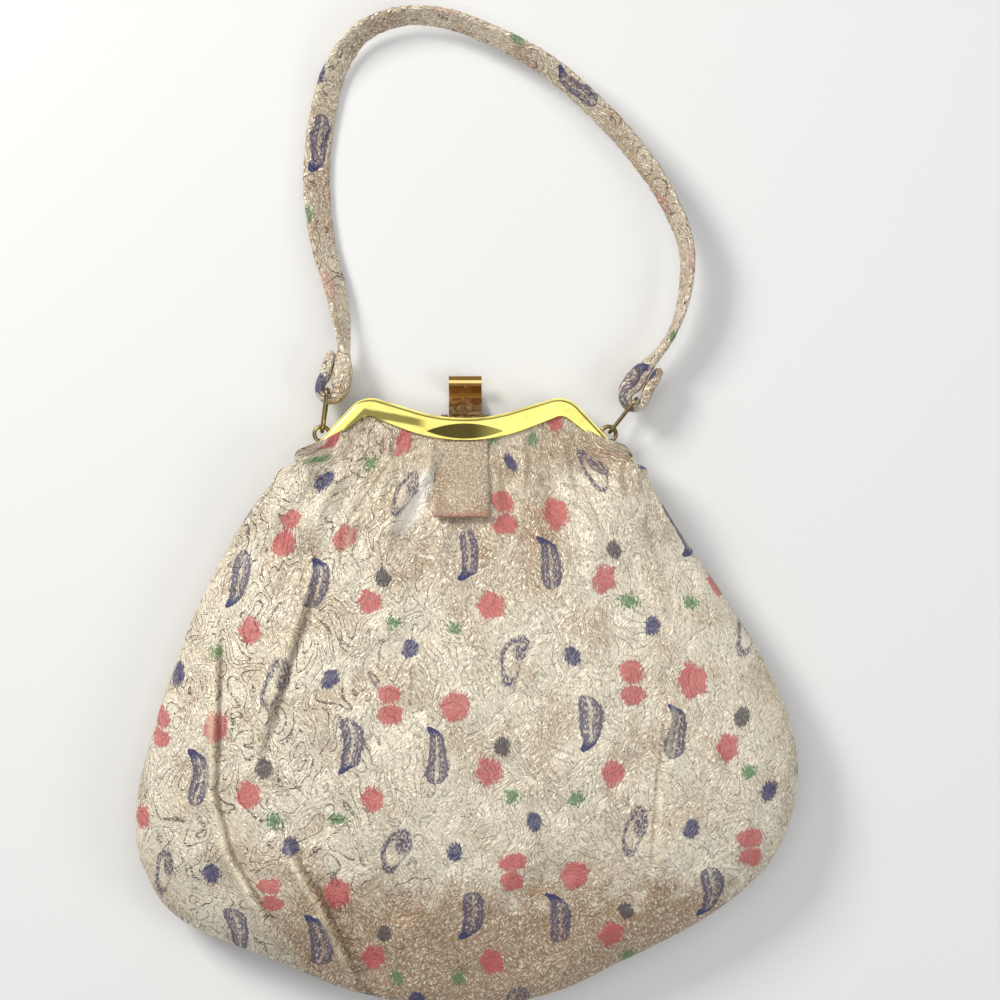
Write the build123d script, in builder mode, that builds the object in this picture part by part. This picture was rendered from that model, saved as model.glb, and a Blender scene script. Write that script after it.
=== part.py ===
"""A brocade evening purse with a hinged metal frame, lying on its back, in millimetres.

X runs along the frame's hinge line, Y from the bag towards the strap, Z up from the table.
The origin is the centre of the flat patch that the bag's back rests on.
"""
from build123d import *
from math import cos, exp, hypot, pi, radians, sin
import os

os.makedirs("parts", exist_ok=True)

# Frame halves: a pressed brass channel bent to a bow, one behind the other
sheet = 0.9
half_depth = 3.9
parting_gap = 0.3
parting_z = 14.0
leg_end_x = 55.0
leg_end_y = 90.3
shoulder_x = 35.1
shoulder_y = 111.8
shoulder_radius = 9.0
dip_y = 101.0
dip_radius = 58.0
inner_leg_x = 53.2
inner_shoulder_x = 33.6
inner_shoulder_y = 105.1
inner_shoulder_radius = 4.0
inner_dip_y = 91.7
inner_dip_radius = 60.0
back_rim_lip = 0.5
outer_rounding = 1.1
inner_rounding = 0.35

# Lens-shaped seat that the hasp snaps into
seat_length = 27.0
seat_height = 5.4
seat_depth = 0.4
seat_y = 99.6

# Riveted hinge at each end of the frame
hinge_y = 90.0
hinge_z = parting_z
ear_radius = 2.6
ear_thickness = 1.2
ear_gap = 0.3
arm_reach = 1.6
arm_width = 2.0
arm_height = 2.2
foot_height = 1.1
foot_trim = 0.2
rivet_radius = 1.1
rivet_head_radius = 1.9
rivet_head_height = 0.7
running_fit = 0.05

# Hasp and its hinge, drawn closed and then thrown back
hasp_width = 11.4
hasp_sheet = 0.8
hasp_pin_radius = 1.05
hasp_clearance = 0.3
hasp_drop = 7.3
hasp_lip = 3.3
hasp_lip_angle = 52.0
hasp_open_angle = 120.0
hasp_hinge_y = 103.7
snap_radius = 1.6
snap_height = 0.5
snap_taper = 30
knuckle_length = 2.4
pin_end = 0.5
leaf_bottom_y = 96.9
leaf_top_y = 100.9

# Eyes, links and the cloth loops that hold the links
eye_radius = 2.6
eye_wire = 0.7
eye_x = 49.7
eye_y = 98.8
link_wire = 0.65
link_slack = 0.45
link_small_half = 1.9
link_large_half = 5.2
link_small_corner = 1.8
link_large_corner = 1.5
left_tunnel = (-47.6, 114.2)
left_loop_turn = 12.0
right_tunnel = (59.3, 110.9)
right_loop_turn = 33.0
eye_foot = 2.6
eye_foot_width = 3.6
loop_clearance = 0.35
strap_thickness = 2.2
strap_edge_share = 0.4
loop_width = 7.2
loop_leg = 9.0
flap_length = 12.0

# Cloth bag
cloth = 2.0
mouth_cloth = 1.2
lining = 0.5
lining_gap = 0.4
seam_z = parting_z
panel_top_y = 84.5
mouth_tuck = 0.8
mouth_grip = 3.4
packing_room = 2.4
cloth_clearance = 0.3
ear_clear_x = 52.6
ear_clear_y = 86.9
mouth_wide_x = 59.0
mouth_span = 110.0
packing_gap = 0.1
packing_half = 34.0
bag_span = 300.0
past_end = 0.5
lining_foot = [(-93.0, -35.0, 29.0, 5.2, 5.7), (-94.0, -28.0, 24.0, 4.6, 5.0)]
gather_height = 0.9
gather_count = 13
gather_reach = 75.0
tab_shelter = 2.0
dome_fullness = 2.3
dome_steepness = 0.8
front_points = 56
back_points = 30
lining_points = 20

# Folded tab under the middle of the frame
tab_width = 18.6
tab_thickness = 1.8
tab_bottom_y = 69.8
tab_x = -0.9
tab_top_y = 96.0
tab_gap = 0.6
tab_middle_rise = 8.3
tab_bottom_rise = 10.6

# Values that follow from the ones above
front_z = parting_z + parting_gap / 2
back_z = parting_z - parting_gap / 2 - half_depth
front_face_z = front_z + half_depth
eye_z = back_z - eye_wire - running_fit
long_edge = 3 * sheet
ear_x = leg_end_x - ear_thickness / 3
back_ear_x = ear_x + ear_thickness + ear_gap
rivet_end_x = back_ear_x + ear_thickness
bracket_width = hasp_width + 2 * (hasp_clearance + knuckle_length)
leg_slope = hypot(leg_end_x - shoulder_x, shoulder_y - leg_end_y)
leg_normal_x = (shoulder_y - leg_end_y) / leg_slope
leg_normal_y = (leg_end_x - shoulder_x) / leg_slope
knuckle_radius = hasp_pin_radius + running_fit + hasp_sheet
hasp_hinge_z = back_z - hasp_clearance - knuckle_radius
loop_inner = link_wire + loop_clearance
loop_outer = loop_inner + strap_thickness
loop_axis = (loop_inner + loop_outer) / 2


def frame_outline(lip):
    """The region inside the frame's outer edge, with the edge moved out by lip."""
    with BuildSketch() as outline:
        with BuildLine():
            FilletPolyline(
                (-leg_end_x, leg_end_y),
                (-shoulder_x, shoulder_y),
                (0, dip_y),
                (shoulder_x, shoulder_y),
                (leg_end_x, leg_end_y),
                radius=[shoulder_radius, dip_radius, shoulder_radius],
            )
            Line((leg_end_x, leg_end_y), (-leg_end_x, leg_end_y))
        make_face()
        if lip:
            offset(amount=lip, kind=Kind.INTERSECTION)
        if lip > 0:
            with Locations((0, leg_end_y)):
                Rectangle(bag_span, bag_span, align=(Align.CENTER, Align.MIN), mode=Mode.INTERSECT)
    return outline.sketch


def mouth_outline():
    """The region inside the frame's inner edge, where the cloth comes out."""
    with BuildSketch() as outline:
        with BuildLine():
            FilletPolyline(
                (-inner_leg_x, leg_end_y),
                (-inner_shoulder_x, inner_shoulder_y),
                (0, inner_dip_y),
                (inner_shoulder_x, inner_shoulder_y),
                (inner_leg_x, leg_end_y),
                radius=[inner_shoulder_radius, inner_dip_radius, inner_shoulder_radius],
            )
            Line((inner_leg_x, leg_end_y), (-inner_leg_x, leg_end_y))
        make_face()
    return outline.sketch


outer_region = frame_outline(0)
back_region = frame_outline(back_rim_lip)
inner_region = mouth_outline()
gutter_region = frame_outline(-sheet)


def flat(point):
    """The point dropped to the plane of the sketches."""
    return Vector(point.X, point.Y, 0)


def ear_at(x, thickness, foot_z=None):
    """One hinge ear, from x outwards, with a straight foot down to foot_z where it has one."""
    with BuildSketch(Plane.YZ.offset(x)) as profile:
        with Locations((hinge_y, hinge_z)):
            Circle(ear_radius)
        if foot_z is not None:
            with Locations((hinge_y, foot_z)):
                Rectangle(2 * ear_radius, hinge_z - foot_z, align=(Align.CENTER, Align.MIN))
    return extrude(profile.sketch, amount=thickness, mode=Mode.PRIVATE)


# Front half of the frame
with BuildPart() as front_frame:
    with BuildSketch(Plane.XY.offset(front_z)):
        add(outer_region)
        add(inner_region, mode=Mode.SUBTRACT)
    extrude(amount=half_depth)
    front_rim = front_frame.edges().group_by(Axis.Z)[-1].filter_by(lambda e: e.length > long_edge)
    outer_rim = front_rim.filter_by(lambda e: outer_region.wire().distance_to(flat(e @ 0.5)) < running_fit)
    fillet(outer_rim, outer_rounding)
    front_rim = front_frame.edges().group_by(Axis.Z)[-1].filter_by(lambda e: e.length > long_edge)
    inner_rim = front_rim.filter_by(lambda e: inner_region.wire().distance_to(flat(e @ 0.5)) < running_fit)
    fillet(inner_rim, inner_rounding)
    with BuildSketch(Plane.XY.offset(front_z + sheet)):
        add(gutter_region)
    extrude(amount=half_depth - 2 * sheet, mode=Mode.SUBTRACT)
    with BuildSketch(Plane.XY.offset(front_face_z)):
        with BuildLine():
            seat_left = (-seat_length / 2, seat_y)
            seat_right = (seat_length / 2, seat_y)
            ThreePointArc(seat_left, (0, seat_y + seat_height / 2), seat_right)
            ThreePointArc(seat_right, (0, seat_y - seat_height / 2), seat_left)
        make_face()
    extrude(amount=-seat_depth, mode=Mode.SUBTRACT)
    for side in (-1, 1):
        add(ear_at(side * ear_x, side * ear_thickness))
        with BuildSketch(Plane.YZ.offset(side * (ear_x - arm_reach))):
            with Locations((leg_end_y, front_z)):
                Rectangle(arm_width, arm_height, align=(Align.MIN, Align.MIN))
        extrude(amount=side * (arm_reach + ear_thickness))
        with BuildSketch(Plane.YZ.offset(side * (ear_x - arm_reach))):
            with Locations((hinge_y, hinge_z)):
                Circle(rivet_radius + running_fit)
        extrude(amount=side * (arm_reach + 2 * ear_thickness), mode=Mode.SUBTRACT)
front_frame.part.label = "front_frame"
export_step(front_frame.part, "parts/front_frame.step")

# Back half of the frame
with BuildPart() as back_frame:
    with BuildSketch(Plane.XY.offset(back_z)):
        add(back_region)
        add(inner_region, mode=Mode.SUBTRACT)
    extrude(amount=half_depth)
    with BuildSketch(Plane.XY.offset(back_z + sheet)):
        add(gutter_region)
    extrude(amount=half_depth - 2 * sheet, mode=Mode.SUBTRACT)
    for side in (-1, 1):
        with BuildSketch(Plane.YZ.offset(side * (ear_x - arm_reach))):
            with Locations((hinge_y, hinge_z)):
                Circle(ear_radius + ear_gap)
        extrude(amount=side * (arm_reach + ear_thickness + ear_gap), mode=Mode.SUBTRACT)
        add(ear_at(side * back_ear_x, side * ear_thickness, foot_z=back_z))
        with BuildSketch(Plane.XY.offset(back_z)):
            with Locations((side * (ear_x - arm_reach), hinge_y)):
                foot_length = rivet_end_x - ear_x + arm_reach
                foot_edge = Align.MIN if side > 0 else Align.MAX
                Rectangle(foot_length, 2 * ear_radius - foot_trim, align=(foot_edge, Align.CENTER))
        extrude(amount=foot_height)
        with BuildSketch(Plane.YZ.offset(side * (back_ear_x - ear_gap))):
            with Locations((hinge_y, hinge_z)):
                Circle(rivet_radius + running_fit)
        extrude(amount=side * (ear_thickness + 2 * ear_gap), mode=Mode.SUBTRACT)
back_frame.part.label = "back_frame"
export_step(back_frame.part, "parts/back_frame.step")

# Rivets through both ears, headed on the outside
for side, name in ((-1, "left_hinge_rivet"), (1, "right_hinge_rivet")):
    with BuildPart() as rivet:
        with BuildSketch(Plane.YZ.offset(side * ear_x)):
            with Locations((hinge_y, hinge_z)):
                Circle(rivet_radius)
        extrude(amount=side * (rivet_end_x - ear_x))
        with BuildSketch(Plane.YZ.offset(side * rivet_end_x)):
            with Locations((hinge_y, hinge_z)):
                Circle(rivet_head_radius)
        extrude(amount=side * rivet_head_height)
        head_edge = rivet.edges().sort_by(Axis.X)[-1 if side > 0 else 0]
        fillet(head_edge, rivet_head_height / 2)
    rivet.part.label = name
    export_step(rivet.part, f"parts/{name}.step")

# Hinge leaf of the hasp, on the back of the back half
with BuildPart() as hasp_bracket:
    with BuildSketch(Plane.XY.offset(back_z)):
        with Locations((0, leaf_bottom_y)):
            leaf_height = leaf_top_y - leaf_bottom_y
            Rectangle(bracket_width, leaf_height, align=(Align.CENTER, Align.MIN))
        for side in (-1, 1):
            with Locations((side * (bracket_width - knuckle_length) / 2, leaf_bottom_y)):
                Rectangle(knuckle_length, hasp_hinge_y - leaf_bottom_y, align=(Align.CENTER, Align.MIN))
    extrude(amount=-hasp_sheet)
    for side in (-1, 1):
        with BuildSketch(Plane.YZ.offset(side * (bracket_width / 2 - knuckle_length))):
            with Locations((hasp_hinge_y, hasp_hinge_z)):
                Circle(knuckle_radius)
        extrude(amount=side * knuckle_length)
    with BuildSketch(Plane.YZ.offset(-bracket_width)):
        with Locations((hasp_hinge_y, hasp_hinge_z)):
            Circle(hasp_pin_radius + running_fit)
    extrude(amount=2 * bracket_width, mode=Mode.SUBTRACT)
hasp_bracket.part.label = "hasp_bracket"
export_step(hasp_bracket.part, "parts/hasp_bracket.step")

with BuildPart() as hasp_pin:
    with BuildSketch(Plane.YZ.offset(-bracket_width / 2 - pin_end)):
        with Locations((hasp_hinge_y, hasp_hinge_z)):
            Circle(hasp_pin_radius)
    extrude(amount=bracket_width + 2 * pin_end)
    chamfer(hasp_pin.edges().filter_by(GeomType.CIRCLE), pin_end / 2)
hasp_pin.part.label = "hasp_pin"
export_step(hasp_pin.part, "parts/hasp_pin.step")

# Hasp: drawn closed, in a plane that is turned back about its hinge
open_turn = radians(hasp_open_angle)
hasp_plane = Plane(
    origin=(-hasp_width / 2, hasp_hinge_y, hasp_hinge_z),
    x_dir=(0, cos(open_turn), -sin(open_turn)),
    z_dir=(1, 0, 0),
)
strip_under = hasp_pin_radius + running_fit
front_reach = front_face_z + hasp_clearance - hasp_hinge_z
lip_angle = radians(hasp_lip_angle)
lip_y = knuckle_radius - hasp_drop
with BuildPart() as hasp:
    with BuildSketch(hasp_plane):
        Circle(knuckle_radius)
        with BuildLine():
            Polyline(
                (strip_under, 0),
                (strip_under, front_reach),
                (lip_y, front_reach),
                (lip_y - hasp_lip * cos(lip_angle), front_reach + hasp_lip * sin(lip_angle)),
                (
                    lip_y - hasp_lip * cos(lip_angle) + hasp_sheet * sin(lip_angle),
                    front_reach + hasp_lip * sin(lip_angle) + hasp_sheet * cos(lip_angle),
                ),
                (lip_y + hasp_sheet * sin(lip_angle), front_reach + hasp_sheet),
                (knuckle_radius, front_reach + hasp_sheet),
                (knuckle_radius, 0),
                close=True,
            )
        make_face()
        Circle(strip_under, mode=Mode.SUBTRACT)
    extrude(amount=hasp_width)
    bend_edges = hasp.edges().filter_by(Axis.X).sort_by(Axis.Z)
    fillet(bend_edges[0], hasp_sheet)
    snap_middle = (seat_y - hasp_hinge_y, front_reach + hasp_sheet / 2, hasp_width / 2)
    snap_plane = Plane(
        origin=hasp_plane.from_local_coords(snap_middle),
        z_dir=hasp_plane.from_local_coords((0, -1, 0)) - hasp_plane.origin,
    )
    with BuildSketch(snap_plane):
        Circle(snap_radius)
    extrude(amount=hasp_sheet / 2 + snap_height, taper=snap_taper)
hasp.part.label = "hasp"
export_step(hasp.part, "parts/hasp.step")


def eye_centre(side):
    return Vector(side * eye_x, eye_y, eye_z)


def loop_frame(side):
    """Plane of a cloth loop: its origin on the tunnel, its own Y towards the strap."""
    turn = radians(left_loop_turn if side < 0 else right_loop_turn)
    tunnel = Vector(*(left_tunnel if side < 0 else right_tunnel), eye_z)
    return Plane(origin=tunnel, x_dir=(cos(turn), -sin(turn), 0), z_dir=(0, 0, 1))


def link_plane(side):
    """Upright plane of a link: its origin on the eye's wire, its own X towards the tunnel."""
    towards = (loop_frame(side).origin - eye_centre(side)).normalized()
    start = eye_centre(side) + towards * eye_radius
    return Plane(origin=start, x_dir=towards, z_dir=(towards.Y, -towards.X, 0))


for side, name in ((-1, "left_eye"), (1, "right_eye")):
    centre = eye_centre(side)
    leg_normal = Vector(side * leg_normal_x, leg_normal_y, 0)
    with BuildPart() as eye:
        with BuildSketch(Plane(origin=centre, x_dir=(1, 0, 0), z_dir=(0, 1, 0))):
            with Locations((eye_radius, 0)):
                Circle(eye_wire)
        revolve(axis=Axis(centre, (0, 0, 1)))
        foot_centre = centre - leg_normal * (eye_radius + eye_foot / 2)
        foot_plane = Plane(origin=foot_centre, x_dir=leg_normal, z_dir=(0, 0, 1))
        with BuildSketch(foot_plane.offset(-eye_wire)):
            RectangleRounded(eye_foot, eye_foot_width, eye_foot / 5)
        extrude(amount=back_z - eye_z + eye_wire)
    eye.part.label = name
    export_step(eye.part, f"parts/{name}.step")

for side, name in ((-1, "left_link"), (1, "right_link")):
    plane = link_plane(side)
    small_end = -(eye_wire + link_wire + link_slack)
    large_end = (loop_frame(side).origin - plane.origin).length
    with BuildPart() as link:
        with BuildLine(plane) as bend:
            FilletPolyline(
                (large_end, -link_large_half),
                (large_end, link_large_half),
                (small_end, link_small_half),
                (small_end, -link_small_half),
                radius=[link_large_corner, link_large_corner, link_small_corner, link_small_corner],
                close=True,
            )
        start = bend.wires()[0]
        with BuildSketch(Plane(origin=start @ 0, z_dir=start % 0)):
            Circle(link_wire)
        sweep(path=start)
    link.part.label = name
    export_step(link.part, f"parts/{name}.step")

# Strap: a folded band, standing on edge at its ends and lying over where it meets the table.
# Each station is x, y, height of the middle, lean from flat in degrees, and width.
strap_route = [
    (-42.2, 130.0, 8.2, 70, 8.4),
    (-44.4, 146.0, 6.0, 46, 9.3),
    (-50.0, 167.5, 3.9, 30, 9.4),
    (-52.0, 189.0, 2.66, 20, 9.4),
    (-50.0, 209.0, 3.2, 25, 9.4),
    (-44.8, 227.0, 4.6, 38, 9.4),
    (-36.0, 238.5, 6.6, 52, 9.4),
    (-22.0, 243.8, 8.5, 58, 9.4),
    (-6.5, 242.6, 10.4, 57, 9.4),
    (10.0, 236.2, 12.0, 54, 9.4),
    (27.5, 226.6, 13.0, 50, 9.4),
    (43.5, 213.0, 13.5, 48, 9.4),
    (58.0, 197.5, 13.5, 48, 9.4),
    (70.0, 180.0, 13.0, 54, 9.4),
    (76.6, 163.0, 12.0, 64, 9.4),
    (76.0, 147.0, 11.0, 72, 9.2),
    (70.8, 132.0, 9.8, 82, 8.4),
]


def loop_leg_end(side):
    """Where a cloth loop's main layer ends and the band begins."""
    across = -side * loop_axis
    return loop_frame(side).from_local_coords((across, loop_leg, 0))


def strap_section(before, here, after, lean, width):
    """The band's section at one station, square to the way from before to after."""
    along = (after - before).normalized()
    outward = Vector(-along.Y, along.X, 0).normalized()
    tilt = radians(lean)
    across = outward * -cos(tilt) + along.cross(outward * -1).normalized() * sin(tilt)
    with BuildSketch(Plane(origin=here, x_dir=across, z_dir=along)) as section:
        RectangleRounded(width, strap_thickness, strap_thickness * strap_edge_share)
    return section.sketch


with BuildPart() as strap:
    middles = [Vector(x, y, z) for x, y, z, lean, width in strap_route]
    middles = [loop_leg_end(-1)] + middles + [loop_leg_end(1)]
    leans = [90] + [lean for x, y, z, lean, width in strap_route] + [90]
    widths = [loop_width] + [width for x, y, z, lean, width in strap_route] + [loop_width]
    sections = []
    for i, middle in enumerate(middles):
        before = middles[i - 1] if i else middle - loop_frame(-1).y_dir
        after = middles[i + 1] if i + 1 < len(middles) else middle - loop_frame(1).y_dir
        sections.append(strap_section(before, middle, after, leans[i], widths[i]))
    loft(sections=sections)
    for side in (-1, 1):
        plane = loop_frame(side)
        with BuildSketch(plane.offset(-loop_width / 2)):
            Circle(loop_outer)
            Rectangle(2 * loop_outer, loop_outer, align=(Align.CENTER, Align.MIN), mode=Mode.SUBTRACT)
            with Locations((-side * loop_axis, 0)):
                Rectangle(strap_thickness, loop_leg, align=(Align.CENTER, Align.MIN))
            with Locations((side * loop_axis, 0)):
                Rectangle(strap_thickness, flap_length, align=(Align.CENTER, Align.MIN))
            Circle(loop_inner, mode=Mode.SUBTRACT)
        extrude(amount=loop_width)
strap.part.label = "strap"
export_step(strap.part, "parts/strap.step")

# Bag outline and fullness. Each station is y, left edge, right edge, rise of the front
# above the side seam and fall of the back below it.
bag_stations = [
    (84.5, -62.8, 60.4, 5.0, 5.0),
    (68.0, -76.4, 71.8, 10.5, 9.0),
    (45.0, -89.4, 87.8, 15.0, 14.5),
    (20.0, -99.6, 103.4, 18.5, 14.5),
    (-8.0, -108.6, 114.0, 20.5, 14.5),
    (-32.0, -113.4, 112.8, 20.5, 14.5),
    (-52.0, -110.2, 102.6, 18.5, 14.5),
    (-70.0, -95.5, 79.6, 14.5, 14.0),
    (-84.0, -62.0, 52.0, 9.5, 10.5),
    (-94.0, -36.0, 30.0, 5.5, 6.0),
    (-99.5, -12.0, 10.0, 2.6, 2.8),
]

# Long creases of the front: x at the top end, x at the bottom end, their two heights, depth, width
creases = [
    (-42.0, -70.0, 64.0, -14.0, 1.3, 4.0),
    (-84.0, -52.0, 25.0, -83.0, 1.1, 4.5),
    (-57.0, -37.0, -46.0, -88.0, 1.2, 4.0),
    (70.0, 64.0, 10.0, -48.0, 0.9, 4.5),
    (-12.0, -36.0, 84.0, 48.0, -0.9, 4.5),
]


def crease_depth(x, y):
    """How far the long creases pull the front in at one place."""
    depth = 0.0
    for top_x, bottom_x, top_y, bottom_y, deep, wide in creases:
        along = (top_y - y) / (top_y - bottom_y)
        if -0.2 < along < 1.2:
            fade = max(0.0, 1 - (2 * abs(along - 0.5) / 1.4) ** 4)
            line_x = top_x + (bottom_x - top_x) * along
            depth += deep * fade * exp(-(((x - line_x) / wide) ** 2))
    return depth


def gathers(x, y, span, strength):
    """Height of the gathers that fan out from the frame, fade down the bag and stop at the tab."""
    left, right = span
    across = (2 * x - left - right) / (right - left)
    fade = max(0.0, 1 - (panel_top_y - y) / gather_reach)
    from_tab = abs(x - tab_x) / tab_width
    beside_tab = 1 - exp(-tab_shelter * from_tab ** 4) if y > tab_bottom_y - tab_width else 1.0
    wave = cos(gather_count * pi * across + 0.6) + 0.5 * cos(1.7 * gather_count * pi * across + 2.0)
    return strength * fade * beside_tab * wave


def dome(station, side, inset, points, strength):
    """Points over one side of the bag, from the right seam to the left, inset from its skin."""
    y, left, right, rise, fall = station
    height = (rise if side > 0 else fall) - inset
    middle = (left + right) / 2
    half = (right - left) / 2 - inset
    span = (left, right) if y <= panel_top_y else bag_stations[0][1:3]
    over = []
    for i in range(points + 1):
        turn = pi * i / points
        x = middle + half * cos(turn) * abs(cos(turn)) ** (2 / dome_fullness - 1)
        lift = height * sin(turn) ** dome_steepness
        detail = (gathers(x, y, span, strength) - crease_depth(x, y)) if strength else 0
        over.append((x, seam_z + side * (lift + detail * sin(turn))))
    return over


def bag_section(station, side, inset, points, strength, past_seam):
    """One closed section of a side of the bag, on the upright plane at the station's y."""
    over = dome(station, side, inset, points, strength)
    base_z = seam_z - side * past_seam
    with BuildSketch(Plane.XZ.offset(-station[0])) as section:
        with BuildLine():
            Spline(*over)
            if past_seam:
                Polyline(over[-1], (over[-1][0], base_z), (over[0][0], base_z), over[0])
            else:
                Line(over[-1], over[0])
        make_face()
    return section.sketch


def bag_shell(stations, side, inset, walls, points, strength):
    """One side of the bag as a shell, open at the frame and closed at the bottom."""
    skin = [bag_section(s, side, inset, points, strength, 0) for s in stations]
    inside = list(stations)
    inside[0] = (stations[0][0] + past_end, *stations[0][1:])
    inside[-1] = (stations[-1][0] + walls[-1], *stations[-1][1:])
    hollow = [bag_section(s, side, inset + w, lining_points, 0, past_end) for s, w in zip(inside, walls)]
    with BuildPart() as shell:
        loft(sections=skin)
        loft(sections=hollow, mode=Mode.SUBTRACT)
    return shell.part


def moved_edge(region, amount):
    """The region with its edge moved out by amount."""
    return offset(region, amount=amount, kind=Kind.INTERSECTION, mode=Mode.PRIVATE)


def cloth_in_channel(grip, room):
    """The cloth's outline inside the frame: grip past the inner edge, room short of the gutter."""
    with BuildSketch() as outline:
        add(moved_edge(inner_region, grip))
        add(moved_edge(gutter_region, -room), mode=Mode.INTERSECT)
    return outline.sketch


# Outline of all cloth from above: wide up to the ears, narrow between them, then inside the bow
with BuildSketch() as mouth_sketch:
    add(inner_region)
    with Locations((0, ear_clear_y)):
        Rectangle(2 * ear_clear_x, leg_end_y - ear_clear_y, align=(Align.CENTER, Align.MIN))
        Rectangle(2 * ear_clear_x, bag_span, align=(Align.CENTER, Align.MIN), mode=Mode.INTERSECT)
    add(cloth_in_channel(mouth_grip, packing_room))
    add(cloth_in_channel(mouth_tuck, cloth_clearance))
    with Locations((0, panel_top_y)):
        Rectangle(2 * mouth_wide_x, ear_clear_y - panel_top_y, align=(Align.CENTER, Align.MIN))
mouth_region = mouth_sketch.sketch


# In the mouth the cloth runs level, wide enough that the outline above trims it
grip_rise = front_face_z - sheet - cloth_clearance / 3 - seam_z
mouth_stations = [
    bag_stations[0],
    (leg_end_y - 0.5, -mouth_span, mouth_span, grip_rise, grip_rise),
    (shoulder_y, -2 * mouth_span, 2 * mouth_span, grip_rise, grip_rise),
]


def mouth_strip(side, insets, walls, points, strength):
    """The cloth between the top of a panel and the frame's gutter."""
    rows = list(zip(mouth_stations, insets, walls, [strength, 0, 0]))
    with BuildPart() as strip:
        loft(sections=[bag_section(s, side, inset, points, g, 0) for s, inset, w, g in rows], ruled=True)
        hollow = [bag_section(s, side, inset + w, lining_points, 0, past_end) for s, inset, w, g in rows]
        loft(sections=hollow, ruled=True, mode=Mode.SUBTRACT)
        with BuildSketch(Plane.XY):
            add(mouth_region)
        extrude(amount=2 * seam_z, mode=Mode.INTERSECT)
    return strip.part


panel_walls = [cloth] * len(bag_stations)
mouth_walls = [cloth, mouth_cloth, mouth_cloth]
no_inset = [0, 0, 0]

with BuildPart() as front_panel:
    add(bag_shell(bag_stations, 1, 0, panel_walls, front_points, gather_height))
front_panel.part.label = "front_panel"
export_step(front_panel.part, "parts/front_panel.step")

with BuildPart() as front_mouth:
    add(mouth_strip(1, no_inset, mouth_walls, front_points, gather_height))
front_mouth.part.label = "front_mouth"
export_step(front_mouth.part, "parts/front_mouth.step")

with BuildPart() as back_panel:
    add(bag_shell(bag_stations, -1, 0, panel_walls, back_points, 0))
    with BuildSketch(Plane.XY):
        Rectangle(bag_span, bag_span)
    extrude(amount=-seam_z, mode=Mode.SUBTRACT)
    add(mouth_strip(-1, no_inset, mouth_walls, back_points, 0))
back_panel.part.label = "back_panel"
export_step(back_panel.part, "parts/back_panel.step")

# Lining, a little smaller than the cloth all round
lining_stations = bag_stations[:-2] + lining_foot
lining_inset = cloth + lining_gap
lining_walls = [lining] * len(lining_stations)
mouth_insets = [lining_inset, mouth_cloth + lining_gap / 2, mouth_cloth + lining_gap / 2]
thin_walls = [lining, lining, lining]
with BuildPart() as front_lining:
    add(bag_shell(lining_stations, 1, lining_inset, lining_walls, lining_points, 0))
front_lining.part.label = "front_lining"
export_step(front_lining.part, "parts/front_lining.step")

with BuildPart() as mouth_lining:
    add(mouth_strip(1, mouth_insets, thin_walls, lining_points, 0))
mouth_lining.part.label = "mouth_lining"
export_step(mouth_lining.part, "parts/mouth_lining.step")

with BuildPart() as back_lining:
    add(bag_shell(lining_stations, -1, lining_inset, lining_walls, lining_points, 0))
    add(mouth_strip(-1, mouth_insets, thin_walls, lining_points, 0))
back_lining.part.label = "back_lining"
export_step(back_lining.part, "parts/back_lining.step")

# Cord that wedges the cloth in each gutter
with BuildSketch() as packing_sketch:
    add(moved_edge(gutter_region, -packing_gap))
    add(moved_edge(gutter_region, packing_gap - packing_room), mode=Mode.SUBTRACT)
    with Locations((0, dip_y - packing_room)):
        Rectangle(2 * packing_half, bag_span, align=(Align.CENTER, Align.MIN), mode=Mode.INTERSECT)
for name, low in (("front_packing", front_z), ("back_packing", back_z)):
    with BuildPart() as packing:
        with BuildSketch(Plane.XY.offset(low + sheet + packing_gap)):
            add(packing_sketch.sketch)
        extrude(amount=half_depth - 2 * (sheet + packing_gap))
    packing.part.label = name
    export_step(packing.part, f"parts/{name}.step")

# Tab of folded cloth over the front, from the frame's inner edge down
with BuildPart() as pull_tab:
    tab_points = [
        (tab_top_y, seam_z + grip_rise + tab_gap),
        (leg_end_y - 0.5, seam_z + grip_rise + tab_gap),
        (panel_top_y, seam_z + bag_stations[0][3] + tab_gap),
        ((panel_top_y + tab_bottom_y) / 2, seam_z + tab_middle_rise + tab_gap),
        (tab_bottom_y, seam_z + tab_bottom_rise + tab_gap),
    ]
    with BuildSketch(Plane.YZ.offset(tab_x - tab_width / 2)):
        with BuildLine():
            under = Spline(*tab_points)
            over = Spline(*[(y, z + tab_thickness) for y, z in tab_points])
            Line(under @ 0, over @ 0)
            Line(under @ 1, over @ 1)
        make_face()
    extrude(amount=tab_width)
    fillet(pull_tab.edges().filter_by(Axis.X).sort_by(Axis.Y)[:2], tab_thickness * 0.45)
pull_tab.part.label = "pull_tab"
export_step(pull_tab.part, "parts/pull_tab.step")
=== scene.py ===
from functools import reduce
from math import atan, cos, pi, radians, sin

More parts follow.
